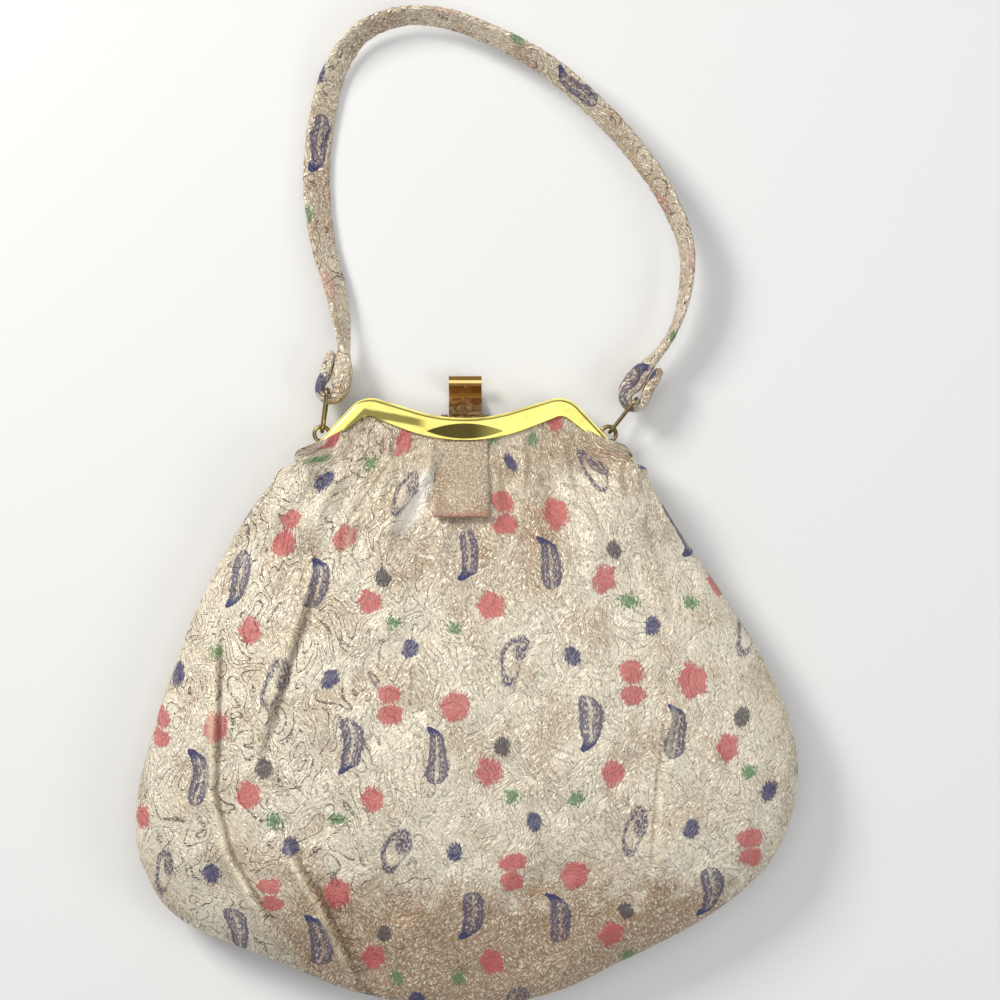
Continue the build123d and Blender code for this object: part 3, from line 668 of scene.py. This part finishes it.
def woven_motifs(paint, place, thread):
    """Share of each motif's colour at a place of the cloth, with edges frayed by the threads."""
    repeat = Repeat(paint, place)
    jag = (thread - 0.5) * 1.1
    flowers = [flower(*repeat.around(x, y), size) for x, y, size in FLOWERS]
    across, up = repeat.around(*DOUBLE_FLOWER)
    flowers.append(oval(across, abs(up) - 3.5, 4.6, 3.5))
    dots = [oval(*repeat.around(*middle), 3.0, 3.6) for middle in DOTS]
    dark_dot = oval(*repeat.around(*DARK_DOT), 2.8, 3.2)
    sprigs = [oval(*repeat.around(*middle), 3.1, 2.9) for middle in SPRIGS]
    paisleys = [paisley(*repeat.around(x, y), flip) for x, y, flip in PAISLEYS]
    tails = [along.rise(-0.5, -0.85) * (edge + jag).rise(1.05, 0.85) for edge, along in paisleys]
    drop = reduce(Wire.least, [edge for edge, along in paisleys])
    body = (drop + jag * 0.6).rise(1.06, 0.9)
    strokes = (thread * 1.7 + drop.rise(0.62, 0.8) * 0.4 - drop.rise(0.2, 0.08) * 0.3).rise(0.6, 0.92)
    ring_ink = ring_paisley(*repeat.around(*RING_PAISLEY), jag, thread)
    return {
        "red": (reduce(Wire.least, flowers) + jag).rise(1.08, 0.86),
        "blue": (reduce(Wire.least, dots) + jag).rise(1.1, 0.86),
        "dark": (dark_dot + jag).rise(1.1, 0.85),
        "green": (reduce(Wire.least, sprigs) + (thread - 0.5) * 3.0).rise(1.0, 0.6),
        "body": body,
        "ink": (body * (strokes * 0.78 + 0.16)).most(ring_ink),
        "tails": reduce(Wire.most, tails),
    }


def slanted_floats(paint, flat, angle, fine):
    """Streaks of float threads that lean by an angle in degrees."""
    c, d = cos(radians(angle)), sin(radians(angle))
    wide = paint.vector("DOT_PRODUCT", flat, (c * 2.2 * fine, -d * 2.2 * fine, 0), 1)
    long = paint.vector("DOT_PRODUCT", flat, (d * 0.7 * fine, c * 0.7 * fine, 0), 1)
    return paint.noise(paint.node("ShaderNodeCombineXYZ", {}, {0: wide, 1: long}), 0.85, 2.0, 0.5)


def jacquard(paint, flat, drift, fleck, fine):
    """The ground's weave: outlines of leaves, their insides, float threads and raised cells."""
    soft = paint.vector("ADD", flat, paint.scaled(drift, 22.0))
    swirl = paint.noise(paint.vector("MULTIPLY", soft, (1.0, 0.5, 1.0)), 0.085, 0.0, 1.4)
    inside = abs((swirl * 4.2).maths("FRACT") - 0.5)
    grouped = paint.noise(flat, 0.06, 1.0).rise(0.34, 0.5)
    outline = abs(inside - 0.25).rise(0.048, 0.024) * fleck.rise(0.44, 0.54) * grouped
    leaf = inside.rise(0.22, 0.28)
    floats = paint.blend(leaf, *[slanted_floats(paint, flat, angle, fine) for angle in (38.0, -30.0)])
    cells = paint.cells(paint.vector("MULTIPLY", soft, (1.0, 0.55, 1.0)), 0.24, "F1", 0.9)
    return outline, leaf, floats, cells


def brocade(name, colours, mottle, gold=0.0, patches_and_shading=True, motifs=1.0, roses=1.0, fine=1.0, fold=None):
    """Cream and gold jacquard with woven flowers, dots, sprigs and paisleys."""
    paint = Paint(name)
    flat = paint.cloth_place()
    drift = paint.vector("SUBTRACT", paint.noise(flat, 0.045, 1.0, 0.0, 1), (0.5, 0.5, 0.5))
    wander = paint.vector("SUBTRACT", paint.noise(flat, 0.35, 1.0, 0.0, 1), (0.5, 0.5, 0.5))
    shift = paint.vector("ADD", paint.scaled(drift, 7.0), paint.scaled(wander, 1.1))
    thread = paint.noise(paint.vector("MULTIPLY", flat, (1.6, 0.75, 1.0)), 1.0, 2.0)
    fleck = paint.noise(paint.vector("MULTIPLY", flat, (0.8, 1.5, 1.0)), 1.1, 1.0)
    woven = woven_motifs(paint, paint.vector("ADD", flat, shift), thread)
    outline, leaf, floats, cells = jacquard(paint, flat, drift, fleck, fine)
    blot = paint.noise(flat, 0.16, 2.0)
    side, height = paint.parts(flat)[:2]

    # Gold tone of the ground: clouds everywhere, and on the front painted shade as darker tan: a band along
    # the bottom, the middle, the left shoulder and a band near the frame
    gold_and_shade = paint.noise(flat, 0.05, 2.0).rise(0.42, 0.66) * 0.5 + gold
    if patches_and_shading:
        low = (height + (blot - 0.5) * 26.0).rise(-48.0, -72.0) * abs(side - 20.0).rise(108.0, 62.0)
        centre = oval(side - 8.0, height - 62.0, 38.0, 30.0).rise(1.15, 0.5)
        upper_left = oval(side + 62.0, height - 52.0, 14.0, 16.0).rise(1.15, 0.5)
        gold_and_shade = gold_and_shade + low + centre * 0.45 + upper_left * 0.35 + height.rise(78.0, 92.0) * 0.45
        outline = outline * (side.rise(18.0, -62.0) * 0.65 + 0.35)
        # Painted highlight along the crest of the fold under the left of the frame
        slope = side + height * -0.42
        crest_highlight = abs(slope + 51.0 + (thread - 0.5) * 4.0).rise(5.0, 2.5) * abs(height - 75.5).rise(13.0, 8.0)
    gold_and_shade = gold_and_shade.least(1.0).most(0.0)

    # Ground, from the silk to its float threads and the leaves' outlines; the float threads' pale tone is
    # partly their own colour and partly a painted sheen
    ground = paint.mix(gold_and_shade, colours.cream, colours.tan)
    pale = [min(1.0, c * 1.12 + 0.03) for c in colours.cream]
    ground = paint.mix(blot.rise(0.5, 0.72) * (0.8 - gold_and_shade * 0.7), ground, pale)
    ground = paint.mix(thread.rise(0.52, 0.30) * mottle, ground, colours.tan)
    ground = paint.mix(cells.rise(0.62, 0.85) * fleck.rise(0.42, 0.62) * 0.5, ground, colours.tan)
    ground = paint.mix(floats.rise(0.52, 0.64) * 0.85, ground, (0.98, 0.92, 0.74))
    ground = paint.mix(floats.rise(0.46, 0.30) * 0.7, ground, colours.bronze)
    # Painted glints: pale flecks standing in for the sparkle of the metal thread
    ground = paint.mix(fleck.rise(0.60, 0.72) * 0.5, ground, (0.95, 0.90, 0.74))
    if patches_and_shading:
        # Painted highlight on that fold's crest, which also pales the outlines there
        ground = paint.mix(crest_highlight * 0.85, ground, (0.97, 0.93, 0.84))
        outline = outline * (1 - crest_highlight * 0.8)
    ground = paint.mix(outline * (0.85 * motifs), ground, (0.10, 0.08, 0.08))

    # Motifs, worn thin where the float threads lie low
    worn = (0.66 + floats.rise(0.35, 0.6) * 0.34) * motifs
    cloth = paint.mix(woven["red"] * worn * (0.9 * roses), ground, colours.rose)
    cloth = paint.mix(woven["green"] * (0.85 * motifs), cloth, colours.green)
    cloth = paint.mix(woven["ink"] * (0.9 * motifs), cloth, (0.075, 0.065, 0.13))
    cloth = paint.mix(woven["tails"] * (0.9 * motifs), cloth, colours.navy)
    cloth = paint.mix(woven["blue"] * worn * 0.96, cloth, colours.navy)
    cloth = paint.mix(woven["dark"] * worn * 0.9, cloth, (0.03, 0.03, 0.05))

    # Painted shade at the foot of each fold and painted light on its crest; a red tint of the weave along the
    # tab's turned edge
    crease = paint.node("ShaderNodeAttribute", {"attribute_name": "crease"}, None, 2)
    cloth = paint.mix(crease.rise(0.1, 1.0) * 0.62, cloth, (0.16, 0.10, 0.06))
    cloth = paint.mix(crease.rise(-0.1, -0.7) * 0.34, cloth, (0.95, 0.86, 0.58))
    if fold:
        near_fold = (abs(height - fold) + (thread - 0.5) * 3.0).rise(2.6, 0.8)
        cloth = paint.mix(near_fold * 0.55, cloth, (0.45, 0.16, 0.12))

    figure = woven["red"].most(woven["blue"]).most(woven["dark"]).most(woven["body"] * 0.7) * motifs
    relief = thread * 0.4 + fleck * 0.4 + floats * 1.3 - outline * (0.8 * motifs)
    relief = relief + figure * 0.35 - cells * 0.55 + leaf * 0.35
    return paint.finish(
        Base_Color=cloth,
        Metallic=floats.rise(0.45, 0.65) * (1 - figure) * 0.5 + 0.08,
        Roughness=0.46 - floats.rise(0.5, 0.75) * 0.16 + figure * 0.14,
        Normal=paint.bump(relief, 1.0, 0.5 * MM),
    )


def lining_cloth(colours):
    """Plain smooth lining with a fine twill and soft creases, with painted shade in the creases."""
    paint = Paint("lining_cloth")
    flat = paint.cloth_place()
    twill = paint.diagonals(flat, 0.9, 0.6)
    crease = paint.noise(paint.vector("MULTIPLY", flat, (0.5, 0.12, 1.0)), 0.35, 3.0)
    twill_and_crease_shade = [c * 0.72 for c in colours.lining]
    # Painted shade where the creases sink
    colour = paint.mix(crease.rise(0.3, 0.7), twill_and_crease_shade, colours.lining)
    return paint.finish(
        Base_Color=paint.mix(twill * 0.16, colour, twill_and_crease_shade),
        Roughness=0.46 + crease * 0.12,
        Normal=paint.bump(twill * 0.3 + crease, 0.5, 0.3 * MM),
    )


def polished_gilt(name, colour, shade, rubbed, rough, seat=None):
    """Gilt metal with fine hairlines and darker rubbed tone in random clouds and spots; on the front frame,
    painted dark reflections in the hasp's lens-shaped seat and in a streak along the left arm.
    """
    paint = Paint(name)
    place = paint.scaled(paint.object_place(), 1000.0)
    lines = paint.noise(paint.vector("MULTIPLY", place, (0.5, 3.2, 3.2)), 1.6, 3.0)
    cloud = paint.noise(place, 0.12, 3.0, 0.6)
    spots = paint.noise(place, 1.3, 2.0)
    tone = cloud.rise(0.42, 0.70) * rubbed + spots.rise(0.66, 0.78) * rubbed * 0.6
    if seat:
        # Painted dark reflection in the hasp's lens-shaped seat, lighter towards its right tip
        across, up = paint.parts(place)[:2]
        lens = (across * (1 / seat[0])) ** 2 + abs(up - seat[1]) * (1 / seat[2])
        tone = tone.most(lens.rise(1.03, 0.92) * (0.98 - across.rise(2.0, 13.0) * 0.25))
        # Painted dark reflection in a streak along the middle of the left arm
        left = across * -1
        line = (left * 0.19 + 99.6).least(left * -1.02 + 141.3)
        reflection_streak = abs(up - line + cloud * 1.6 - 0.8).rise(2.0, 0.9)
        tone = tone.most(reflection_streak * left.rise(11.0, 17.0) * left.rise(50.0, 42.0) * 0.8)
    tone = tone.least(1.0)
    return paint.finish(
        Base_Color=paint.mix(tone, colour, shade),
        Metallic=1.0,
        Roughness=lines * 0.12 + cloud * 0.08 + rough,
        Normal=paint.bump(lines * 0.4 + spots * 0.25, 0.12, 0.08 * MM),
    )


def toned_hasp(colours):
    """Amber-toned brass, mottled where hands have rubbed it."""
    paint = Paint("toned_hasp")
    place = paint.scaled(paint.object_place(), 1000.0)
    cloud = paint.noise(place, 0.35, 3.0, 1.2)
    spots = paint.noise(place, 1.4, 3.0)
    colour = paint.mix(cloud.rise(0.4, 0.62), colours.amber, (0.72, 0.48, 0.22))
    colour = paint.mix(spots.rise(0.55, 0.72) * 0.7, colour, (0.16, 0.09, 0.035))
    up = paint.parts(place)[1]
    colour = paint.mix(up.rise(*HASP_DARK), colour, (0.20, 0.11, 0.03))
    colour = paint.mix(abs(up - HASP_STEP).rise(0.5, 0.3), colour, (0.85, 0.62, 0.28))
    colour = paint.mix(abs(up - HASP_LIP).rise(0.6, 0.4), colour, (0.90, 0.68, 0.25))
    return paint.finish(
        Base_Color=colour,
        Metallic=1.0,
        Roughness=0.2 + cloud * 0.2,
        Normal=paint.bump(spots * 0.5 + cloud * 0.5, 0.25, 0.1 * MM),
    )


def packing_cord():
    """Twisted paper cord inside the channels."""
    paint = Paint("packing_cord")
    twist = paint.diagonals(paint.object_place(), 220.0, 1.0)
    return paint.finish(
        Base_Color=paint.mix(twist, (0.44, 0.37, 0.26), (0.62, 0.55, 0.42)),
        Roughness=0.85,
        Normal=paint.bump(twist, 0.6, 0.3 * MM),
    )


def wear(piece, material):
    """Gives a piece its only material."""
    piece.data.materials.clear()
    piece.data.materials.append(material)


def dress(node, material):
    """Gives a CAD node a finished material in each of its slots."""
    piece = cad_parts[node]
    if not piece.material_slots:
        piece.data.materials.append(material)
    for slot in piece.material_slots:
        slot.material = material


class PURSE_OT_cloth(bpy.types.Operator):
    """Makes the brocade front and back of the bag"""
    bl_idname = "purse.cloth"
    bl_label = "Cloth"

    def execute(self, context):
        sizes, colours = context.scene.purse_bag, context.scene.purse_cloth
        columns, rows = ((sizes.columns, sizes.rows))
        material = brocade("brocade", colours, 0.3)
        front = cloth_piece("front_cloth", columns, rows, 1, 0.0, 1.0, sizes.pucker / MM)
        give_wall(front, sizes.cloth)
        back = cloth_piece("back_cloth", columns // 2, rows // 2, -1, 0.0, 0.6, 0.0)
        give_wall(back, sizes.cloth)
        for piece in (front, back):
            wear(piece, material)
        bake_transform(front)
        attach(back, "back_half")
        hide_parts("front_panel", "front_mouth")
        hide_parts("back_panel")
        return {"FINISHED"}


class PURSE_OT_lining(bpy.types.Operator):
    """Makes the smooth lining inside the bag"""
    bl_idname = "purse.lining"
    bl_label = "Lining"

    def execute(self, context):
        sizes, colours = context.scene.purse_bag, context.scene.purse_cloth
        material = lining_cloth(colours)
        inset = sizes.lining_inset / MM
        front = give_wall(cloth_piece("front_lining_cloth", 96, 70, 1, inset, 0.0, 0.0), sizes.lining)
        back = give_wall(cloth_piece("back_lining_cloth", 96, 70, -1, inset, 0.0, 0.0), sizes.lining)
        for piece in (front, back):
            wear(piece, material)
        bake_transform(front)
        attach(back, "back_half")
        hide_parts("front_lining", "mouth_lining")
        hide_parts("back_lining")
        return {"FINISHED"}


class PURSE_OT_tab(bpy.types.Operator):
    """Makes the folded tab under the middle of the frame"""
    bl_idname = "purse.tab"
    bl_label = "Tab"

    def execute(self, context):
        sizes, colours = context.scene.purse_tab, context.scene.purse_cloth
        thickness, width, middle = sizes.thickness / MM, sizes.width / MM, sizes.middle / MM
        top, bottom = sizes.top / MM, sizes.bottom / MM
        route = [
            (middle, top, SEAM_Z + 3.75, 1, 0, 0, width - 0.6),
            (middle, 90.5, SEAM_Z + 4.5, 1, 0, 0, width - 0.4),
            (middle, PANEL_TOP, SEAM_Z + 7.2, 1, 0, 0, width),
            (middle, 77.0, SEAM_Z + 10.8, 1, 0, 0, width + 0.2),
            (middle, bottom, SEAM_Z + 13.4, 1, 0, 0, width + 0.6),
        ]
        rows, reach = through(route, 72)
        from_top = smooth(reach / 7.0)
        to_fold = np.clip((reach[-1] - reach) / (thickness / 2), 0, 1)
        fold = np.sqrt(np.clip(1 - (1 - to_fold) ** 2, 0.01, 1))
        depth = (0.7 + (thickness - 0.7) * from_top) * fold
        map_start = 30.0
        tab = band_piece("folded_tab", rows, 96, depth, 12.0, 0.3, (14.0, map_start))
        material = brocade(
            "tab_brocade", colours, 0.6, gold=0.7, patches_and_shading=False, motifs=0.0, fine=1.7,
            fold=map_start + reach[-1])
        wear(tab, material)
        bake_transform(tab)
        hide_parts("pull_tab")
        return {"FINISHED"}


def loop_rows(tunnel, turn, side):
    """Middle line and thickness of a strap's end loop, from its flap to where the band begins."""
    t = radians(turn)
    x_axis, y_axis = np.array([cos(t), -sin(t)]), np.array([sin(t), cos(t)])
    rows = []
    for across, along, thickness in LOOP_ROUTE:
        x, y = np.array(tunnel) + x_axis * across * side + y_axis * along
        rows.append((x, y, LINK_Z, 0, 0, 1, LOOP_WIDTH, thickness))
    return rows


class PURSE_OT_strap(bpy.types.Operator):
    """Makes the folded brocade strap with its end loops"""
    bl_idname = "purse.strap"
    bl_label = "Strap"

    def execute(self, context):
        route = np.array(STRAP_ROUTE)
        middles = route[:, :3]
        along = np.gradient(middles, axis=0)
        along /= np.linalg.norm(along, axis=1)[:, None]
        outward = np.stack([-along[:, 1], along[:, 0], 0 * along[:, 0]], axis=1)
        outward /= np.linalg.norm(outward, axis=1)[:, None]
        tilt = np.radians(route[:, 3])[:, None]
        across = -outward * np.cos(tilt) + np.cross(along, -outward) * np.sin(tilt)
        widths = route[:, 4:5]
        band = np.concatenate([middles, across, widths, STRAP_THICKNESS + 0 * widths], axis=1)
        left = np.array(loop_rows(LEFT_TUNNEL, LEFT_TURN, -1))
        right = np.array(loop_rows(RIGHT_TUNNEL, RIGHT_TURN, 1))[::-1]
        for rows, near in ((left, band[0]), (right, band[-1])):
            if np.dot(rows[0, 3:6], near[3:6]) < 0:
                rows[:, 3:6] *= -1
        rows, reach = through(np.concatenate([left, band, right]), 560)
        ends = np.minimum(reach, reach[-1] - reach)
        depth = rows[:, 7] * np.sqrt(np.clip(1 - (1 - np.clip(ends / 1.3, 0, 1)) ** 2, 0.02, 1))
        strap = band_piece("brocade_strap", rows, 48, depth, 7.0, 0.5, (31.0, 9.0))
        colours = context.scene.purse_cloth
        wear(strap, brocade("strap_brocade", colours, 0.6, gold=0.4, patches_and_shading=False, roses=0.3))
        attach(strap, "handle")
        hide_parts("strap")
        return {"FINISHED"}


class PURSE_OT_metal(bpy.types.Operator):
    """Finishes the frame, its hinge, the hasp and the links"""
    bl_idname = "purse.metal"
    bl_label = "Metal"

    def execute(self, context):
        colours = context.scene.purse_metal
        # Dark tone for the gilt's rubbed clouds and, on the front frame, its painted reflections
        dark = (0.055, 0.042, 0.012)
        dress("front_frame", polished_gilt("front_gilt", colours.gilt, dark, 0.22, 0.12, SEAT_LENS))
        gilt = polished_gilt("back_gilt", colours.gilt, dark, 0.45, 0.14)
        for node in ("back_frame", "left_hinge_rivet", "right_hinge_rivet"):
            dress(node, gilt)
        wire = polished_gilt("link_brass", colours.wire, (0.10, 0.075, 0.04), 0.7, 0.22)
        for node in ("left_eye", "right_eye", "left_link", "right_link", "hasp_bracket", "hasp_pin"):
            dress(node, wire)
        dress("hasp", toned_hasp(colours))
        cord = packing_cord()
        for node in ("front_packing", "back_packing"):
            dress(node, cord)
        return {"FINISHED"}


def area_lamp(name, place, aim, size, power, colour):
    """A soft lamp of one size, turned towards a point."""
    data = bpy.data.lights.new(name, "AREA")
    data.size = size
    data.energy = power
    data.color = colour
    lamp = bpy.data.objects.new(name, data)
    lamp.location = place
    lamp.rotation_euler = (Vector(aim) - Vector(place)).to_track_quat("-Z", "Y").to_euler()
    bpy.context.scene.collection.objects.link(lamp)


class PURSE_OT_stage(bpy.types.Operator):
    """Sets the pale floor, the soft light and the camera straight above"""
    bl_idname = "purse.stage"
    bl_label = "Stage"

    def execute(self, context):
        scene = context.scene
        mesh = bmesh.new()
        bmesh.ops.create_grid(mesh, x_segments=1, y_segments=1, size=FLOOR_HALF)
        data = bpy.data.meshes.new("floor")
        mesh.to_mesh(data)
        mesh.free()
        floor = bpy.data.objects.new("floor", data)
        scene.collection.objects.link(floor)
        wear(floor, Paint("floor_paper").finish(Base_Color=(0.78, 0.78, 0.77, 1), Roughness=0.85))
        area_lamp("key", (-0.75, 0.75, 0.75), (0, 0.02, 0), 0.4, 12.0, (1.0, 0.97, 0.92))
        area_lamp("above", (0.05, 0.25, 1.5), (0.0, 0.07, 0), 1.5, 8.5, (1.0, 0.99, 0.97))
        area_lamp("side", (0.9, -0.2, 0.8), (0, 0.0, 0), 0.5, 3.0, (0.96, 0.98, 1.0))
        world = bpy.data.worlds.new("room")
        world.use_nodes = True
        world.node_tree.nodes["Background"].inputs["Color"].default_value = (0.9, 0.93, 1.0, 1)
        world.node_tree.nodes["Background"].inputs["Strength"].default_value = 0.3
        scene.world = world
        lens = bpy.data.cameras.new("above")
        lens.sensor_width = 36.0
        lens.angle = 2 * atan(VIEW_HALF / (CAMERA_HEIGHT - SEAM_Z * MM))
        camera = bpy.data.objects.new("above", lens)
        camera.location = (*VIEW_MIDDLE, CAMERA_HEIGHT)
        scene.collection.objects.link(camera)
        scene.camera = camera
        scene.view_settings.view_transform = "Standard"
        return {"FINISHED"}


class PURSE_PT_panel(bpy.types.Panel):
    """Lists the steps that dress the purse"""
    bl_label = "Purse"
    bl_idname = "PURSE_PT_panel"
    bl_space_type = "VIEW_3D"
    bl_region_type = "UI"
    bl_category = "Purse"

    def draw(self, context):
        for operator in OPERATORS:
            self.layout.operator(operator.bl_idname)
        for group in GROUPS:
            settings = getattr(context.scene, group)
            for name in settings.__annotations__:
                self.layout.prop(settings, name)


OPERATORS = [PURSE_OT_cloth, PURSE_OT_lining, PURSE_OT_tab, PURSE_OT_strap, PURSE_OT_metal, PURSE_OT_stage]
GROUPS = {
    "purse_bag": BagSizes,
    "purse_tab": TabSizes,
    "purse_cloth": ClothColours,
    "purse_metal": MetalColours,
}


def register():
    for group in GROUPS.values():
        bpy.utils.register_class(group)
    for operator in OPERATORS:
        bpy.utils.register_class(operator)
    bpy.utils.register_class(PURSE_PT_panel)
    for name, group in GROUPS.items():
        setattr(bpy.types.Scene, name, PointerProperty(type=group))


def unregister():
    for name in GROUPS:
        delattr(bpy.types.Scene, name)
    bpy.utils.unregister_class(PURSE_PT_panel)
    for kind in [*OPERATORS, *GROUPS.values()]:
        bpy.utils.unregister_class(kind)


def main():
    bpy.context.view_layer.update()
    register()
    bpy.ops.purse.stage()
    bpy.ops.purse.cloth()
    bpy.ops.purse.lining()
    bpy.ops.purse.tab()
    bpy.ops.purse.strap()
    bpy.ops.purse.metal()
    bpy.context.view_layer.update()


if __name__ == "__main__":
    main()
